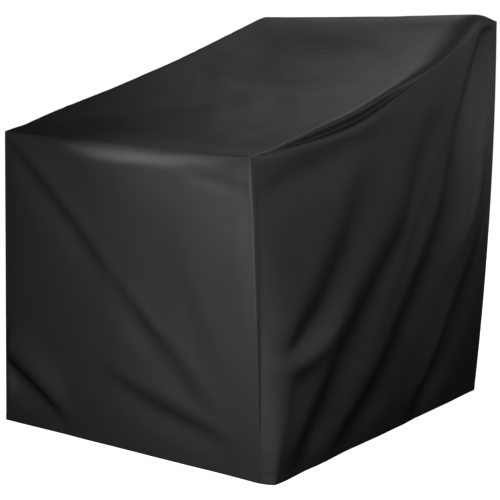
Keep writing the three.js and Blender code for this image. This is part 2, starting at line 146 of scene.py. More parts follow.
FRONT_FOLDS = {
    "long drag fold": fold(
        (-332, 624, 0, 0.12, 20, 24), (-290, 593, -1, 0.35, 24, 30), (-225, 540, -2, 0.52, 26, 34),
        (-160, 486, -2, 0.54, 28, 40), (-90, 425, -2, 0.50, 28, 40), (-32, 371, 0, 0.24, 26, 40),
        (16, 328, 0, 0.32, 26, 40), (70, 276, -1, 0.54, 26, 40), (128, 231, 0, 0.34, 28, 45),
        (178, 187, 0, 0.24, 28, 45), (232, 133, 0, 0.08, 24, 40)),
    "tuck at the left foot": fold(
        (-352, 140, 3, 0.36, 50, 28), (-325, 131, 2, 0.8, 54, 40), (-291, 113, 0, 0.98, 54, 48),
        (-250, 89, -1, 0.98, 50, 46), (-212, 62, -2, 0.8, 42, 40), (-180, 39, -2, 0.5, 32, 32),
        (-150, 20, -1, 0.2, 22, 24)),
    "low drag fold": fold(
        (-60, 164, 0, 0.08, 30, 40), (-15, 152, 0, 0.25, 30, 40), (25, 138, -1, 0.44, 30, 40),
        (86, 119, -2, 0.54, 32, 40), (150, 103, -2, 0.56, 32, 40), (209, 88, -2, 0.48, 28, 40),
        (262, 76, 0, 0.15, 24, 35)),
    "faint fold by the seam": fold(
        (156, 442, 0, 0.04, 40, 50), (205, 307, 0, 0.16, 36, 46), (248, 233, 0, 0.06, 36, 46)),
    "crease under the top": fold(
        (165, 603, -1, 0, 16, 18), (205, 595, -4, 0, 16, 18), (262, 586, -6, 0, 16, 18),
        (321, 580, -3, 0, 16, 18)),
    "dimple under the top": fold(
        (-190, 594, -3, 0, 35, 35), (-150, 585, -6, 0, 35, 35), (-110, 576, -3, 0, 35, 35)),
}

RIGHT_FOLDS = {
    "drag fold from the back corner": fold(
        (-236, 4, -2, 0.22, 44, 46), (-180, 35, -3, 0.36, 44, 50), (-106, 94, -5, 0.48, 48, 56),
        (-26, 163, -6, 0.54, 50, 60), (46, 242, -7, 0.54, 52, 62), (114, 318, -7, 0.52, 52, 64),
        (180, 396, -8, 0.48, 50, 64), (230, 478, -9, 0.44, 46, 62), (264, 556, -12, 0.30, 38, 62),
        (299, 612, -18, 0.1, 36, 66), (334, 664, -25, 0, 40, 64), (360, 716, -27, 0, 42, 58),
        (381, 766, -25, 0, 40, 50), (396, 815, -19, 0, 34, 40), (402, 850, -10, 0, 28, 34)),
    "ridge beside it": fold(
        (-195, 110, 2, 0, 24, 24), (-130, 168, 4, 0, 26, 26), (-72, 234, 6, 0, 28, 26),
        (-18, 302, 7, 0, 28, 26), (46, 376, 7, 0, 28, 26), (92, 440, 7, 0, 26, 24),
        (132, 500, 5, 0, 24, 22), (172, 560, 3, 0, 22, 22), (215, 620, 2, 0, 22, 22),
        (245, 665, 0, 0, 22, 22)),
    "deep fold of the lower side": fold(
        (-345, 8, -3, 0.22, 44, 46), (-306, 70, -7, 0.56, 50, 52), (-254, 136, -10, 0.66, 54, 56),
        (-198, 206, -10, 0.64, 56, 58), (-130, 276, -8, 0.54, 58, 58), (-70, 335, -6, 0.4, 62, 58),
        (-10, 390, -4, 0.32, 68, 54), (48, 434, -3, 0.3, 76, 50), (84, 486, -3, 0.3, 80, 48),
        (106, 540, -3, 0.27, 80, 48), (124, 590, -2, 0.23, 76, 50), (156, 636, -2, 0.18, 70, 50),
        (195, 684, 0, 0.1, 60, 46), (220, 715, 0, 0.03, 50, 40)),
    "hollow that ends in a curl": fold(
        (-395, 262, 0, 0.06, 30, 24), (-362, 266, -3, 0.3, 46, 30), (-324, 284, -7, 0.45, 58, 38),
        (-282, 316, -8, 0.46, 64, 46), (-240, 358, -6, 0.38, 66, 54), (-208, 402, -4, 0.32, 66, 58),
        (-168, 448, -3, 0.27, 66, 60), (-136, 500, -2, 0.22, 66, 62), (-110, 556, -1, 0.17, 64, 60),
        (-72, 604, 0, 0.1, 56, 54), (-30, 640, 0, 0.02, 50, 50)),
    "lip of the curl": fold(
        (-400, 242, 4, 0, 24, 26), (-354, 230, 13, 0, 28, 28), (-298, 242, 16, 0, 30, 30),
        (-238, 271, 13, 0, 30, 30), (-192, 314, 8, 0, 28, 30), (-150, 362, 4, 0, 26, 30),
        (-112, 410, 1, 0, 26, 30)),
    "band under the seam": fold(
        (-412, 560, -3, 0, 26, 34), (-352, 578, -7, 0, 32, 44), (-286, 590, -8, 0, 34, 46),
        (-189, 606, -8, 0, 34, 46), (-125, 622, -6, 0, 32, 42), (-59, 636, -4, 0, 28, 36),
        (-5, 655, -1, 0, 24, 28)),
    "fold at the back foot": fold(
        (104, 6, -2, 0.24, 40, 42), (136, 45, -4, 0.54, 42, 46), (174, 82, -6, 0.72, 44, 48),
        (224, 140, -7, 0.76, 46, 50), (270, 203, -7, 0.74, 48, 50), (316, 268, -6, 0.62, 48, 48),
        (358, 322, -5, 0.44, 46, 44), (392, 378, -3, 0.3, 42, 38), (418, 430, -1, 0.14, 36, 32)),
    "ridge beside the back foot fold": fold(
        (165, 240, 2, 0, 34, 40), (212, 300, 5, 0, 38, 46), (262, 350, 8, 0, 42, 44),
        (308, 394, 11, 0, 46, 38), (342, 440, 13, 0, 48, 34), (364, 490, 12, 0, 46, 30),
        (376, 545, 8, 0, 40, 26), (384, 600, 3, 0, 34, 24)),
}

LEFT_FOLDS = {
    "billow of the lower side": fold(
        (-260, 190, 36, 0, 190, 200), (-60, 230, 52, 0, 190, 200), (200, 210, 34, 0, 190, 200)),
    "drag fold from the back corner": fold(
        (-120, 40, -8, 0, 30, 80), (60, 240, -20, 0, 34, 80), (220, 470, -20, 0, 30, 80),
        (380, 770, -6, 0, 20, 50)),
    "fold of the front half": fold(
        (-330, 60, -7, 0, 28, 70), (-230, 190, -17, 0, 30, 70), (-110, 380, -11, 0, 28, 70),
        (-30, 560, -3, 0, 24, 50)),
    "fold at the back foot": fold(
        (200, 70, -8, 0, 30, 60), (310, 220, -16, 0, 30, 60), (400, 390, -5, 0, 26, 50)),
}

BACK_FOLDS = {
    "fold from the left corner": fold(
        (-250, 760, -4, 0, 26, 60), (-150, 520, -12, 0, 32, 80), (-80, 250, -14, 0, 34, 80),
        (-50, 60, -6, 0, 30, 60)),
    "fold towards the right foot": fold(
        (40, 640, -3, 0, 28, 60), (120, 400, -10, 0, 30, 70), (210, 160, -13, 0, 32, 70),
        (250, 40, -5, 0, 28, 50)),
    "belly of the panel": fold((-160, 420, 8, 0, 260, 260), (160, 420, 8, 0, 260, 260)),
}

# Folds of the top, where along is x and up is y
TOP_FOLDS = {
    "pull from the front left corner": fold(
        (-320, -380, -2, 0, 30, 60), (-200, -250, -5, 0, 30, 60), (-60, -60, -3, 0, 30, 60)),
}


# Curves

def share_of(distance, length):
    """Distance as a share of a length, kept between 0 and 1."""
    return np.clip(distance / length, 0, 1)


def mix(start, end, share):
    """start + (end - start) times the share."""
    return start + (end - start) * share


def smooth(start, end, value):
    """3t^2 - 2t^3 of the share t of the way from start to end: level at both."""
    t = share_of(value - start, end - start)
    return t * t * (3 - 2 * t)


def bell(distance, width):
    """exp(-(distance / width)^2): 1 in the middle, and almost nothing two widths away."""
    return np.exp(-(distance / width) ** 2)


def ease_from_seam(distance, length):
    """1 - (1 - t)^2 of the share t of the length: 0 at a seam, and steepest there."""
    return 1 - (1 - share_of(distance, length)) ** 2


def curve(knots, values, at):
    """Smooth curve through a table's column: cubic pieces, each with the slopes of its neighbours."""
    last = len(knots) - 1
    before = np.maximum(np.arange(last + 1) - 1, 0)
    after = np.minimum(np.arange(last + 1) + 1, last)
    slopes = (values[after] - values[before]) / (knots[after] - knots[before])
    i = np.clip(np.searchsorted(knots, at) - 1, 0, last - 1)
    span = knots[i + 1] - knots[i]
    t = np.clip((at - knots[i]) / span, 0, 1)
    return ((2 * t ** 3 - 3 * t ** 2 + 1) * values[i] + (t ** 3 - 2 * t ** 2 + t) * span * slopes[i]
            + (3 * t ** 2 - 2 * t ** 3) * values[i + 1] + (t ** 3 - t ** 2) * span * slopes[i + 1])


# A fold's line is taken in straight steps of about this length, places on it still count where they
# are this much farther away than the nearest one, and a distance is never 0, to divide by it
FOLD_STEP = 13
BEND_BLEND = 9
NOT_ZERO = 1e-6


def fold_rise(folds, along, up):
    """Rise of the cloth out of its plane, summed over the folds. Each fold gives the rise of the
    nearest place on its smooth line, plus the lean times the distance to its upper side, all
    times exp(-(distance / width)^2). The width goes from the one below the line to the one above
    it with the sine of the angle to the line, and places about as near as the nearest share in
    the rise, so that nothing jumps at a bend."""
    total = np.zeros(np.broadcast(along, up).shape)
    for line in folds.values():
        knots = np.arange(len(line["up"]), dtype=float)
        length = np.hypot(np.diff(line["along"]), np.diff(line["up"])).sum()
        steps = np.linspace(0, knots[-1], int(length / FOLD_STEP) + 2)
        a, u, rise, lean, above, below = (
            curve(knots, line[name], steps) for name in ("along", "up", "rise", "lean", "above", "below"))
        places = []
        for i in range(len(steps) - 1):
            da, du = a[i + 1] - a[i], u[i + 1] - u[i]
            run = math.hypot(da, du)
            share = np.clip(((along - a[i]) * da + (up - u[i]) * du) / run ** 2, 0, 1)
            to_a, to_u = along - a[i] - da * share, up - u[i] - du * share
            away = np.hypot(to_a, to_u) + NOT_ZERO
            side = (da * to_u - du * to_a) / (run * away)
            width = mix(mix(below[i], below[i + 1], share), mix(above[i], above[i + 1], share),
                        (1 + side) / 2)
            height = mix(rise[i], rise[i + 1], share) + mix(lean[i], lean[i + 1], share) * away * side
            places.append((away, height * bell(away, width)))
        nearest = np.minimum.reduce([away for away, _ in places])
        weights = [bell(away - nearest, BEND_BLEND) for away, _ in places]
        total += sum(weight * height for weight, (_, height) in zip(weights, places)) / sum(weights)
    return total


# How many random heights a pattern draws, along a line and each way of a net
RIPPLE_DRAWS = 1024
MOTTLE_DRAWS = 64


def ripples(seed, length, along):
    """Uneven ripples from -1 to 1: a seeded random height every length, joined smoothly."""
    heights = np.random.default_rng(seed).uniform(-1, 1, RIPPLE_DRAWS)
    cell = np.floor(along / length)
    t = smooth(0, 1, along / length - cell)
    i = cell.astype(int)
    return mix(heights[i % RIPPLE_DRAWS], heights[(i + 1) % RIPPLE_DRAWS], t)


def mottle(seed, size, along, up):
    """Uneven swells from -1 to 1: a seeded random height at each corner of a square net of that
    size, joined smoothly both ways."""
    heights = np.random.default_rng(seed).uniform(-1, 1, (MOTTLE_DRAWS, MOTTLE_DRAWS))
    cell_a, cell_u = np.floor(along / size), np.floor(up / size)
    ta, tu = smooth(0, 1, along / size - cell_a), smooth(0, 1, up / size - cell_u)
    i, j = cell_a.astype(int) % MOTTLE_DRAWS, cell_u.astype(int) % MOTTLE_DRAWS
    next_i, next_j = (i + 1) % MOTTLE_DRAWS, (j + 1) % MOTTLE_DRAWS
    low = mix(heights[i, j], heights[next_i, j], ta)
    high = mix(heights[i, next_j], heights[next_i, next_j], ta)
    return mix(low, high, tu)


def points(x, y, z):
    """Three arrays as one array of points."""
    return np.stack(np.broadcast_arrays(x, y, z), axis=-1)


# The top

# The right edge turns down to its seam, which hangs as the table of the top says, and at least a
# little. The ledge at the seam is a share of the turn, and the power of the turn has a limit
LEAST_HANG = 0.5
LEDGE = 0.06
ROUNDEST_HANG = 2

# The left edge turns down over a width, from a share of the way back on
LEFT_HANG = 8
LEFT_HANG_WIDTH = 20
LEFT_HANG_START = 0.08


def drawn(middle, across):
    """The draw of an edge: full in the middle of the panel, small at its corners."""
    return mix(middle, EDGE_DRAW, np.abs(2 * across - 1) ** DRAW_POWER)


def top_points(across, back):
    """The top: a hollow between its left and right edges, whose heights are the table's at each
    distance towards the back, with the folds added. Past the right edge the cloth turns down to
    the seam. At the share s of the turn's length from the seam, it lies s^(turn / inset) of the
    inset inwards and (1 - s)^(turn / hang) of the hang down, with this last power at most
    ROUNDEST_HANG: straight up at the seam, and level at the edge. Between the two it is drawn in
    by the undercut times (1 - s)^2, down to a ledge at the seam, so that it overhangs."""
    left = mix(CORNER_SEAMS["front_left"]["top_x"], CORNER_SEAMS["back_left"]["top_x"], back)
    right = mix(CORNER_SEAMS["front_right"]["top_x"], CORNER_SEAMS["back_right"]["top_x"], back)
    level = FRONT_Y + DEPTH * back
    at = {name: curve(TOP_TABLE["y"], TOP_TABLE[name], level)
          for name in ("left", "right", "sag", "hang", "inset", "undercut")}
    hang = np.maximum(at["hang"], LEAST_HANG)
    turn = at["inset"] + hang
    from_seam = (1 - across) * (right - left)
    share = share_of(from_seam, turn)
    inwards = (at["inset"] * share ** (turn / at["inset"])
               + at["undercut"] * smooth(0, LEDGE, share) * (1 - share) ** 2
               + np.maximum(from_seam - turn, 0) * (right - left - at["inset"]) / (right - left - turn))
    x = right - inwards
    y = mix(FRONT_Y + drawn(FRONT_DRAW, across), -FRONT_Y - drawn(BACK_DRAW, across), back)
    left_hang = (LEFT_HANG * smooth(0, LEFT_HANG_START, back)
                 * (1 - ease_from_seam(x - left, LEFT_HANG_WIDTH)))
    inside = (smooth(0, SEAM_FADE, right - x) * smooth(0, SEAM_FADE, x - left)
              * smooth(0, END_FADE, back) * smooth(0, END_FADE, 1 - back))
    z = (mix(at["left"], at["right"], across)
         - at["sag"] * (1 - (2 * across - 1) ** 2)
         - hang * (1 - share) ** np.minimum(turn / hang, ROUNDEST_HANG)
         - left_hang
         + fold_rise(TOP_FOLDS, x, level) * inside)
    return points(x, y, z)


# The walls

def right_roll(y, z):
    """How far the right side stands out: its roll behind the front seam, which dies out towards
    the back with 1 - share^ROLL_POWER."""
    front, back = CORNER_SEAMS["front_right"]["foot"][1], CORNER_SEAMS["back_right"]["foot"][1]
    share = share_of(y - front, back - front)
    out, length = (curve(ROLL_TABLE["up"], ROLL_TABLE[name], z) for name in ("out", "length"))
    return out * (1 - share ** ROLL_POWER) * ease_from_seam(share * DEPTH, length)


# Each wall: its two corners, the edge of the top that it hangs from, the coordinate that runs along
# it, the way out, its length, how it rolls out from its seams and is drawn in under the top, the
# groove of its top seam, its folds, and whether its grid, which runs along and up, faces inwards
WALLS = {
    "front": {
        "corners": ("front_left", "front_right"),
        "top": lambda share: top_points(share, np.zeros_like(share)),
        "along": 0, "outward": (0, -1, 0), "length": FRONT_WIDTH,
        "roll": FRONT_ROLL, "corner_roll": SOFT_CORNER_ROLL,
        "draw": lambda share: drawn(FRONT_DRAW, share),
        "top_groove": SEAM_GROOVE, "folds": FRONT_FOLDS, "faces_in": False},
    "right_side": {
        "corners": ("front_right", "back_right"),
        "top": lambda share: top_points(np.ones_like(share), share),
        "along": 1, "outward": (1, 0, 0), "length": DEPTH,
        "roll": SIDE_ROLL, "corner_roll": CORNER_ROLL,
        "draw": lambda share: EDGE_DRAW * (1 - smooth(*RIGHT_DRAW_ENDS, share)),
        "top_groove": NO_GROOVE, "folds": RIGHT_FOLDS, "roll_out": right_roll, "faces_in": False},
    "left_side": {
        "corners": ("front_left", "back_left"),
        "top": lambda share: top_points(np.zeros_like(share), share),
        "along": 1, "outward": (-1, 0, 0), "length": DEPTH,
        "roll": SIDE_ROLL, "corner_roll": CORNER_ROLL,
        "draw": lambda share: EDGE_DRAW,
        "top_groove": SEAM_GROOVE, "folds": LEFT_FOLDS, "faces_in": True},
    "back": {
        "corners": ("back_left", "back_right"),
        "top": lambda share: top_points(share, np.ones_like(share)),
        "along": 0, "outward": (0, 1, 0), "length": FRONT_WIDTH,
        "roll": BACK_ROLL, "corner_roll": CORNER_ROLL,
        "draw": lambda share: drawn(BACK_DRAW, share),
        "top_groove": SEAM_GROOVE, "folds": BACK_FOLDS, "faces_in": True},
}


def wall_points(wall, share, height):
    """A wall: straight from the floor to its edge of the top, bowed with 4h(1 - h), drawn in at
    its seams and rolled out from them, with its folds dying out towards them."""
    start, end = (CORNER_SEAMS[name] for name in wall["corners"])
    top = wall["top"](share)
    foot = [mix(start["foot"][k], end["foot"][k], share) for k in (0, 1)]
    bow = [mix(start["bow"][k], end["bow"][k], share) * 4 * height * (1 - height) for k in (0, 1)]
    place = points(mix(foot[0], top[..., 0], height) + bow[0],
                   mix(foot[1], top[..., 1], height) + bow[1],
                   top[..., 2] * height)
    along, up = place[..., wall["along"]], place[..., 2]
    from_corner = np.minimum(share, 1 - share) * wall["length"]
    below_top = (1 - height) * top[..., 2]
    roll = ease_from_seam(below_top, wall["roll"])
    out = ease_from_seam(from_corner, wall["corner_roll"]) * (
        wall["draw"](share) * (roll - 1 + height) + CORNER_DRAW * roll * share_of(height, CORNER_START))
    fade = (smooth(0, SEAM_FADE, from_corner) * smooth(0, SEAM_FADE, below_top)
            * mix(HEM_SHARE, 1, smooth(0, HEM_FADE, up)))
    out = out + fold_rise(wall["folds"], along, up) * fade
    if "roll_out" in wall:
        out = out + wall["roll_out"](along, up)
    return place + out[..., None] * np.array(wall["outward"], float)


# Sewing: what the cloth does at seams and hem, and the soft swells of a limp sheet

# Puckers across a seam: height, reach, where they start, the lengths of the long and the short
# ones, the share of the short ones, and how their strength changes along the seam
PUCKER_HEIGHT = 0.5
PUCKER_REACH = 15
PUCKER_START = 5
PUCKER_LENGTH = 17
SHORT_PUCKER_LENGTH = 9
SHORT_PUCKER_SHARE = 0.6
PUCKER_STRENGTH = 0.65
PUCKER_CHANGE = 0.35
PUCKER_CHANGE_LENGTH = 120

# Soft swells in the field of a panel: height and size of the large, middle and small ones, and
# how far the two smaller kinds are slanted and drawn out
SWELLS = ((1.2, 150), (0.7, 75), (0.22, 34))
SWELL_START = 4 * PUCKER_REACH
SWELL_SLANT = 0.7
MIDDLE_SWELL_STRETCH = 0.6
SMALL_SWELL_STRETCH = 0.7

# Hem, turned in and stitched above the edge: its width, the rise of its second ply, where that
# ends beside the line of stitches, the distance between its two faces and the angles round its
# fold, with the places of these below the edge on the flat cut
HEM_WIDTH = 18
HEM_PLY = 0.45
HEM_PLY_ENDS = (-1, 2)
HEM_LAYERS = 1.7
HEM_FOLD_ANGLES = np.radians([45, 90, 135])
HEM_FOLD_FLAT = (-1, -0.6, -0.3)
HEM_RIPPLE = 0.3
HEM_RIPPLE_LENGTH = 13
HEM_RIPPLE_REACH = 8

# Stitches: height of their line above the edge, and the depth and width of its groove
STITCH_LINE = 14
STITCH_GROOVE = 0.35
STITCH_GROOVE_WIDTH = 1.5

# What each random pattern adds to its panel's seed, besides the number of its seam
SEEDS = {"puckers": 0, "short_puckers": 20, "pucker_strength": 40, "swells": 60, "hem": 80}


def puckers(seed, distance, place):
    """Short puckers across a seam: ripples of two lengths along it, stronger in some places. They
    start a little beside it and fade with exp(-(distance / PUCKER_REACH)^2)."""
    across = (ripples(seed + SEEDS["puckers"], PUCKER_LENGTH, place)
              + SHORT_PUCKER_SHARE * ripples(seed + SEEDS["short_puckers"], SHORT_PUCKER_LENGTH, place))
    change = ripples(seed + SEEDS["pucker_strength"], PUCKER_CHANGE_LENGTH, place)
    strength = PUCKER_STRENGTH + PUCKER_CHANGE * change
    return (PUCKER_HEIGHT * across * strength
            * bell(distance, PUCKER_REACH) * smooth(0, PUCKER_START, distance))


def swells(seed, along, up):
    """Soft swells of three sizes, each a net of random heights. The two smaller nets lie aslant and
    are drawn out, one along its slant and one across it."""
    slant_a, slant_u = along + SWELL_SLANT * up, up - SWELL_SLANT * along
    nets = [(along, up),
            (slant_a, slant_u * MIDDLE_SWELL_STRETCH),
            (slant_u * SMALL_SWELL_STRETCH, slant_a)]
    return sum(height * mottle(seed + SEEDS["swells"] + number, size, *net)
               for number, ((height, size), net) in enumerate(zip(SWELLS, nets, strict=True)))


def hem_relief(seed, along, up):
    """The hem from outside: the rise of its second ply, which ends at the line of stitches, the
    groove of that line, and ripples along it."""
    from_line = up - STITCH_LINE
    return (HEM_PLY * (1 - smooth(*HEM_PLY_ENDS, from_line))
            - STITCH_GROOVE * bell(from_line, STITCH_GROOVE_WIDTH)
            + (HEM_RIPPLE * ripples(seed + SEEDS["hem"], HEM_RIPPLE_LENGTH, along)
               * bell(from_line, HEM_RIPPLE_REACH)))


def sewn_relief(seed, along, up, seams):
    """Rise of the cloth out of its folds: a roll beside each seam, so that the seam lies in a
    groove, puckers across it, and soft swells away from the seams. seams are (distance to the
    seam, place along it, depth of its groove) for each seam."""
    field = np.ones_like(along)
    rise = np.zeros_like(along)
    for number, (distance, place, groove) in enumerate(seams):
        field = field * smooth(0, SWELL_START, distance)
        rise += groove * (ease_from_seam(distance, SEAM_GROOVE_WIDTH) - 1)
        rise += puckers(seed + number, distance, place)
    return rise + field * swells(seed, along, up)


# Size of the facets, on the panels that show and on the others. It starts small at a seam and grows
SHOWN_STEP = 4.2
PLAIN_STEP = 8
SEAM_STEP = 1.1
STEP_GROWTH = 1.22
MOST_STEPS = 400


def stations(length, step):
    """Shares from 0 to 1 whose steps start small at both ends and grow to the given one."""
    grown = np.minimum(SEAM_STEP * STEP_GROWTH ** np.arange(MOST_STEPS), step)
    half = np.concatenate([[0], np.cumsum(grown)])
    half = half[:np.searchsorted(half, length / 2) + 1]
    half = half / half[-1] / 2
    return np.concatenate([half, 1 - half[-2::-1]])


def directions(grid):
    """Unit directions along the columns and up the rows of a grid of points, and their cross
    product, all from the differences between neighbours."""
    across, up = np.gradient(grid, axis=1), np.gradient(grid, axis=0)
    out = np.cross(across, up)
    return [v / np.linalg.norm(v, axis=-1, keepdims=True) for v in (across, up, out)]


def top_cloth_grid(step, seed):
    """Grid of the top's outer face and its places on the flat cut."""
    across, back = np.meshgrid(stations(FRONT_WIDTH, step), stations(DEPTH, step))
    grid = top_points(across, back)
    from_left, from_front = across * FRONT_WIDTH, back * DEPTH
    seams = [(from_left, from_front, SEAM_GROOVE), (FRONT_WIDTH - from_left, from_front, NO_GROOVE),
             (from_front, from_left, SEAM_GROOVE), (DEPTH - from_front, from_left, SEAM_GROOVE)]
    relief = sewn_relief(seed, from_left, from_front, seams)
    grid = grid + directions(grid)[2] * relief[..., None]
    return grid, np.stack([from_left, from_front], axis=-1)


def wall_cloth_grid(wall, step, seed):
    """Grid of a wall's outer face, from the turned-in edge of the hem round the fold at the
    bottom and up to the top seam, and its places on the flat cut."""
    share, height = np.meshgrid(stations(wall["length"], step), stations(FRONT_HEIGHT, step))
    grid = wall_points(wall, share, height)
    top_z = grid[-1:, :, 2]
    place, up = share * wall["length"], height * top_z
    seams = [(place, up, SEAM_GROOVE), (wall["length"] - place, up, SEAM_GROOVE),
             ((1 - height) * top_z, place, wall["top_groove"])]
    relief = sewn_relief(seed, place, up, seams) + hem_relief(seed, place, up)
    outward = directions(grid)[2] * (-1 if wall["faces_in"] else 1)
    return with_hem(grid + outward * relief[..., None], outward, np.stack([place, up], axis=-1))


def with_hem(grid, outward, flat):
    """A wall's grid and flat cut with the hem turned in: its rows again, on its inner face and
    from its edge down, and then a half circle, r(1 + cos a) inwards and r(1 - sin a) up, to the
    outer face."""
    rows = int((flat[1:, 0, 1] < HEM_WIDTH).sum())
    inner_face = (grid - outward * HEM_LAYERS)[1:rows + 1][::-1]
    radius = HEM_LAYERS / 2
    half_circle = [
        (grid[:1] - outward[:1] * radius * (1 + math.cos(angle))) * (1, 1, 0)
        + (0, 0, radius * (1 - math.sin(angle))) for angle in HEM_FOLD_ANGLES]
    outer_face = grid.copy()
    outer_face[0, :, 2] = radius
    flat_below = [flat[1:rows + 1][::-1] * (1, -1)] + [flat[:1] * (1, 0) + (0, v) for v in HEM_FOLD_FLAT]
    return np.concatenate([inner_face, *half_circle, outer_face]), np.concatenate([*flat_below, flat])


# Making pieces

# Thickness of a sheet, and the gap between two panels
SHEET = 0.7
SEAM_GAP = 0.3

# One stitch: its length, pitch and radius, how many rings it has and of how many points, how far
# it is arched, and how full its ends are, where 1 is a point
STITCH_LENGTH = 2.5
STITCH_PITCH = 3.5
STITCH_RADIUS = 0.27
STITCH_RINGS = 5
STITCH_SIDES = 6
STITCH_ARCH = 0.16
STITCH_FULLNESS = 1.06


def cut_back(grid, sewn_at_first_row):
    """The grid with each sewn edge moved half the gap towards the cloth's own inside: both sides,
    the last row, and the first one where it is sewn too."""
    edges = [(np.s_[:, 0], np.s_[:, 1]), (np.s_[:, -1], np.s_[:, -2]), (np.s_[-1], np.s_[-2])]
    if sewn_at_first_row:
        edges.append((np.s_[0], np.s_[1]))
    moved = grid.copy()
    for edge, beside in edges:
        inward = grid[beside] - grid[edge]
        moved[edge] += inward / np.linalg.norm(inward, axis=-1, keepdims=True) * SEAM_GAP / 2
    return moved


def piece_from_faces(name, vertices, faces, material):
    """A smooth mesh object at the origin, from points in millimetres."""
    mesh = bpy.data.meshes.new(name)
    mesh.from_pydata(vertices * MM, [], faces)
    mesh.polygons.foreach_set("use_smooth", np.ones(len(mesh.polygons), bool))
    mesh.materials.append(material)
    piece = bpy.data.objects.new(name, mesh)
    bpy.context.scene.collection.objects.link(piece)
    return piece


def cloth_piece(name, grid, flat, faces_in, material):
    """A sheet of cloth over a grid of points, with the flat cut as its UV map in metres."""
    rows, columns = grid.shape[:2]
    number = np.arange(rows * columns).reshape(rows, columns)
    quads = np.stack([number[:-1, :-1], number[:-1, 1:], number[1:, 1:], number[1:, :-1]], axis=-1)
    quads = quads.reshape(-1, 4)[:, ::-1 if faces_in else 1]
    piece = piece_from_faces(name, grid.reshape(-1, 3), quads.tolist(), material)
    layer = piece.data.uv_layers.new(name="flat_cut")
    layer.data.foreach_set("uv", (flat.reshape(-1, 2)[quads.ravel()] * MM).ravel())
    thick = piece.modifiers.new("thickness", "SOLIDIFY")
    thick.thickness = SHEET * MM
    thick.offset = -1
    return piece


def hem_stitches(name, grid, flat, material):
    """The hem's stitches on a wall, a pitch apart on their line and sunk in by half. At the share s
    of its half length, from -1 to 1, each is a ring of radius r sqrt(STITCH_FULLNESS - s^2), arched
    by STITCH_ARCH (1 - s^2) away from the middle of the wall, and it follows the cloth's own
    directions."""
    row = int(np.argmin(np.abs(flat[:, 0, 1] - STITCH_LINE)))
    ahead, _, out = (v[row] for v in directions(grid))
    line = grid[row]
    from_middle = line - grid.mean(axis=(0, 1))
    out = out * np.sign(np.sum(out * from_middle, axis=-1).mean())
    run = np.concatenate([[0], np.cumsum(np.linalg.norm(np.diff(line, axis=0), axis=-1))])
    at = np.arange(STITCH_PITCH * 2, run[-1] - STITCH_PITCH * 2, STITCH_PITCH)
    centre, ahead, out = (np.stack([np.interp(at, run, v[:, k]) for k in range(3)], axis=-1)
                          for v in (line, ahead, out))
    axes = np.stack([ahead, np.cross(out, ahead), out], axis=1)
    share = np.linspace(-1, 1, STITCH_RINGS)[:, None]
    angle = np.arange(STITCH_SIDES) * 2 * np.pi / STITCH_SIDES
    radius = STITCH_RADIUS * np.sqrt(STITCH_FULLNESS - share ** 2)
    one = points(share * STITCH_LENGTH / 2, radius * np.cos(angle),
                 radius * np.sin(angle) + STITCH_ARCH * (1 - share ** 2))
    vertices = centre[:, None, None] + np.einsum("rck,skj->srcj", one, axes)
    number = np.arange(len(at) * STITCH_RINGS * STITCH_SIDES).reshape(len(at), STITCH_RINGS, STITCH_SIDES)
    beside = np.roll(number, -1, axis=2)
    quads = np.stack([number[:, :-1], beside[:, :-1], beside[:, 1:], number[:, 1:]], axis=-1)
    ends = np.concatenate([number[:, 0, ::-1], number[:, -1]])
    return piece_from_faces(name, vertices.reshape(-1, 3), quads.reshape(-1, 4).tolist() + ends.tolist(),
                            material)


# Finishes

# The cloth's blacks: its ground, where it is worn smooth, and its flecks
CLOTH_BLACK = (0.054, 0.0545, 0.0555, 1)
WORN_BLACK = (0.064, 0.0645, 0.0655, 1)
FLECK_BLACK = (0.072, 0.072, 0.073, 1)

# How the patches turn to the worn black: the value where they start, and the steepness. Then the
# share of the flecks, the roughness, and how much patches and flecks change it
PATCH_START = 0.3
PATCH_STEEPNESS = 1.4
FLECK_SHARE = 0.25
CLOTH_ROUGHNESS = 0.5
PATCH_ROUGHNESS = 0.1
FLECK_ROUGHNESS = 0.08

# The weave: widths of a thread and of the furrow beside it, in metres as on the flat cut, and the
# heights of a high thread, a low one and a furrow, as greys
THREAD_WIDTH = 0.0006
FURROW_WIDTH = 0.0001
HIGH_THREAD = (1, 1, 1, 1)
LOW_THREAD = (0.8, 0.8, 0.8, 1)
FURROW = (0, 0, 0, 1)


class Value:
    """One output of a shader node; Python's operators on it add Math nodes."""

    def __init__(self, finish, socket):
        self.finish = finish
        self.socket = socket

    def _math(self, operation, *terms):
        return self.finish.node("ShaderNodeMath", {"operation": operation}, dict(enumerate(terms)))

    def __add__(self, other):
        return self._math("ADD", self, other)

    def __sub__(self, other):
        return self._math("SUBTRACT", self, other)

    def __rsub__(self, other):
        return self._math("SUBTRACT", other, self)

    def __mul__(self, other):
        return self._math("MULTIPLY", self, other)

    __radd__ = __add__
    __rmul__ = __mul__


class Finish:
    """The nodes of a material, or of the surround, under construction."""

    def __init__(self, owner):
        owner.use_nodes = True
        self.tree = owner.node_tree
        self.tree.nodes.clear()

    def node(self, kind, settings=None, sockets=None, out=0):
        """Adds a node, sets its settings and then its sockets, and gives one of its outputs, or
        nothing for the last node of a tree, which has none."""
        made = self.tree.nodes.new(kind)
        for name, value in (settings or {}).items():
            setattr(made, name, value)
        for name, value in (sockets or {}).items():
            if isinstance(value, Value):
                self.tree.links.new(value.socket, made.inputs[name])
            else:
                made.inputs[name].default_value = value
        return Value(self, made.outputs[out]) if made.outputs else None

    def color_mix(self, share, first, second):
        """A share of the way from the first colour to the second. On a Mix node of colours, socket
        0 is the share, 6 and 7 are the colours, and 2 is the colour that comes out."""
        return self.node("ShaderNodeMix", {"data_type": "RGBA"}, {0: share, 6: first, 7: second}, out=2)


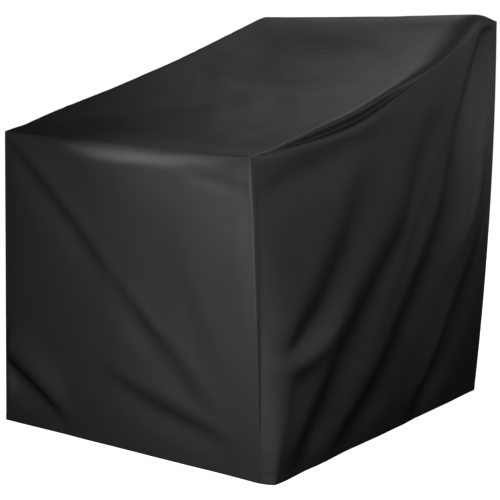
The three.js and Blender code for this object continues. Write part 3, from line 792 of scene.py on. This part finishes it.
def coated_cloth():
    """Black woven polyester with a coated face: fine plain weave, a satin sheen that varies a
    little, slightly paler where the cloth is worn smooth in patches."""
    material = bpy.data.materials.new("coated_cloth")
    finish = Finish(material)
    place = finish.node("ShaderNodeUVMap", {"uv_map": "flat_cut"})
    patches = finish.node("ShaderNodeTexNoise", sockets={
        "Vector": place, "Scale": 9.0, "Detail": 3.0, "Roughness": 0.55})
    flecks = finish.node("ShaderNodeTexNoise", sockets={
        "Vector": place, "Scale": 160.0, "Detail": 2.0, "Roughness": 0.6})
    crumple = finish.node("ShaderNodeTexNoise", sockets={
        "Vector": place, "Scale": 42.0, "Detail": 4.0, "Roughness": 0.5})
    threads = finish.node("ShaderNodeTexBrick", {"offset": 0.5, "squash": 1.0}, {
        "Vector": place, "Scale": 1.0, "Mortar Size": FURROW_WIDTH, "Mortar Smooth": 1.0,
        "Brick Width": 2 * THREAD_WIDTH, "Row Height": THREAD_WIDTH,
        "Color1": HIGH_THREAD, "Color2": LOW_THREAD, "Mortar": FURROW})
    color = finish.color_mix((patches - PATCH_START) * PATCH_STEEPNESS, CLOTH_BLACK, WORN_BLACK)
    color = finish.color_mix(flecks * FLECK_SHARE, color, FLECK_BLACK)
    roughness = (CLOTH_ROUGHNESS + (patches - 0.5) * PATCH_ROUGHNESS
                 + (flecks - 0.5) * FLECK_ROUGHNESS)
    bump = finish.node("ShaderNodeBump", sockets={
        "Strength": 0.35, "Distance": 0.0006, "Height": crumple})
    bump = finish.node("ShaderNodeBump", sockets={
        "Strength": 0.12, "Distance": 0.0001, "Height": threads, "Normal": bump})
    shader = finish.node("ShaderNodeBsdfPrincipled", sockets={
        "Base Color": color, "Roughness": roughness, "Normal": bump, "Specular IOR Level": 0.5})
    finish.node("ShaderNodeOutputMaterial", sockets={"Surface": shader})
    return material


# The five panels

TOP_SEED = 100

# Each wall's cut: size of the facets, seed, and flat size and area in metres
CUTS = {
    "front": {"step": SHOWN_STEP, "seed": 200, "flat": (0.71, 0.67), "area": 0.462},
    "right_side": {"step": SHOWN_STEP, "seed": 300, "flat": (0.90, 0.91), "area": 0.675},
    "left_side": {"step": PLAIN_STEP, "seed": 400, "flat": (0.90, 0.91), "area": 0.675},
    "back": {"step": PLAIN_STEP, "seed": 500, "flat": (0.67, 0.90), "area": 0.575},
}


def sew_top(cloth):
    """The top's cloth, in place of its solid."""
    grid, flat = top_cloth_grid(SHOWN_STEP, TOP_SEED)
    top = cloth_piece("top_cloth", cut_back(grid, True), flat, False, cloth)
    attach(top, "root")
    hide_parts("top_panel")


def sew_wall(name, cloth):
    """A wall's cloth, in place of its solid, and the stitches of its hem."""
    wall, cut = WALLS[name], CUTS[name]
    grid, flat = wall_cloth_grid(wall, cut["step"], cut["seed"])
    panel = cloth_piece(f"{name}_cloth", cut_back(grid, False), flat, wall["faces_in"], cloth)
    stitches = hem_stitches(f"{name}_hem_stitches", grid, flat, cloth)
    for piece in (panel, stitches):
        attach(piece, "root")
    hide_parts(f"{name}_panel")


# Floor, camera and light

WHITE = (1, 1, 1, 1)

# The floor: how far it reaches each way, its colour and roughness, and how strongly it glows
FLOOR_REACH = 40000
FLOOR_GREY = (0.9, 0.9, 0.9, 1)
FLOOR_ROUGHNESS = 0.9
FLOOR_GLOW = 1.05

# The camera: what it looks at and how far off it is, in metres, on which side and how high, in
# degrees, its lens and sensor, and its shift as shares of the picture's width
VIEW_CENTRE = Vector((0, 0, 0.414))
VIEW_DISTANCE = 3.4514
VIEW_AZIMUTH = 39.86
VIEW_ELEVATION = 9.73
LENS = 110.53
SENSOR_WIDTH = 36
SHIFT_X = -0.019
SHIFT_Y = -0.0476


def named_rows(names, rows):
    """A table whose rows have names too: for each, a dictionary of its columns."""
    return {name: dict(zip(names.split(), row, strict=True)) for name, row in rows.items()}


# The softboxes, with sizes in metres, angles in degrees and powers in watts
SOFTBOXES = named_rows("azimuth elevation distance size power", {
    "front_near": (30, 5, 1.3, 0.5, 3.85),
    "front_near_middle": (15, 5, 1.3, 0.5, 1.4),
    "left": (-60, 25, 2.6, 1.1, 0.85),
    "left_low": (-105, 3, 2.6, 0.8, 3.5),
    "back_left": (-150, 45, 2.6, 1.1, 5.3),
    "back_low": (-170, 3, 2.6, 0.8, 2.5),
    "back_right_low": (150, 8, 2.6, 1.1, 1.2),
    "right_low": (120, 8, 2.6, 1.1, 0.9),
    "right_near": (120, 20, 1.3, 0.5, 0.2),
    "right_near_high": (120, 40, 1.3, 0.5, 0.75),
    "right_near_top": (90, 40, 1.3, 0.5, 0.65),
})

# Strips with a narrow beam, for the soft gleams on the edges, each aimed at its own place
STRIPS = named_rows("azimuth elevation distance size height spread power aim", {
    "strip_on_front_edge": (-55, 28, 1.2, 0.28, 0.12, 8, 0.033, (0.075, -0.45, 0.62)),
    "strip_on_back_corner": (35, 20, 1.6, 0.05, 0.3, 6, 0.008, (0.34, 0.41, 0.72)),
    "strip_under_back_corner": (35, 15, 1.6, 0.06, 0.45, 6, 0.028, (0.34, 0.38, 0.58)),
})


def pale_floor():
    """A wide plain floor under the cover."""
    material = bpy.data.materials.new("pale_floor")
    finish = Finish(material)
    shader = finish.node("ShaderNodeBsdfPrincipled", sockets={
        "Base Color": FLOOR_GREY, "Roughness": FLOOR_ROUGHNESS,
        "Emission Color": WHITE, "Emission Strength": FLOOR_GLOW})
    finish.node("ShaderNodeOutputMaterial", sockets={"Surface": shader})
    corners = np.array([(-1, -1, 0), (1, -1, 0), (1, 1, 0), (-1, 1, 0)], float) * FLOOR_REACH
    floor = piece_from_faces("floor", corners, [(0, 1, 2, 3)], material)
    floor.visible_diffuse = False
    floor.visible_glossy = False


def direction(azimuth, elevation):
    """Unit direction from the cover: azimuth 0 is straight ahead of its front, 90 its right."""
    a, e = math.radians(azimuth), math.radians(elevation)
    return Vector((math.sin(a) * math.cos(e), -math.cos(a) * math.cos(e), math.sin(e)))


def set_up(name, data, aim, towards, distance):
    """A camera or light a distance from the place that it faces."""
    made = bpy.data.objects.new(name, data)
    made.location = aim + towards * distance
    made.rotation_euler = towards.to_track_quat("Z", "Y").to_euler()
    bpy.context.scene.collection.objects.link(made)
    return made


def camera():
    """The camera, at the photograph's place and framing."""
    data = bpy.data.cameras.new("camera")
    data.lens = LENS
    data.sensor_width = SENSOR_WIDTH
    data.shift_x = SHIFT_X
    data.shift_y = SHIFT_Y
    towards = direction(VIEW_AZIMUTH, VIEW_ELEVATION)
    bpy.context.scene.camera = set_up("camera", data, VIEW_CENTRE, towards, VIEW_DISTANCE)


def softbox(name, azimuth, elevation, distance, size, power, height=None, spread=180, aim=VIEW_CENTRE):
    """An area light that faces the middle of the cover, or the place it is aimed at: a square, or
    a rectangle where it has a height, with a beam of that spread."""
    data = bpy.data.lights.new(name, "AREA")
    data.size = size
    data.energy = power
    data.spread = math.radians(spread)
    if height:
        data.shape = "RECTANGLE"
        data.size_y = height
    made = set_up(name, data, Vector(aim), direction(azimuth, elevation), distance)
    made.visible_camera = False


def studio():
    """Soft light from the softboxes and strips round the cover, in a surround that is white to
    the camera and gives no light."""
    surround = bpy.data.worlds.new("studio")
    finish = Finish(surround)
    seen = finish.node("ShaderNodeLightPath", out="Is Camera Ray")
    backdrop = finish.node("ShaderNodeBackground", sockets={"Color": WHITE, "Strength": seen})
    finish.node("ShaderNodeOutputWorld", sockets={"Surface": backdrop})
    bpy.context.scene.world = surround
    for name, box in (SOFTBOXES | STRIPS).items():
        softbox(name, **box)


cloth = coated_cloth()
sew_top(cloth)
for name in CUTS:
    sew_wall(name, cloth)
pale_floor()
camera()
studio()
bpy.context.scene.view_settings.view_transform = "Standard"
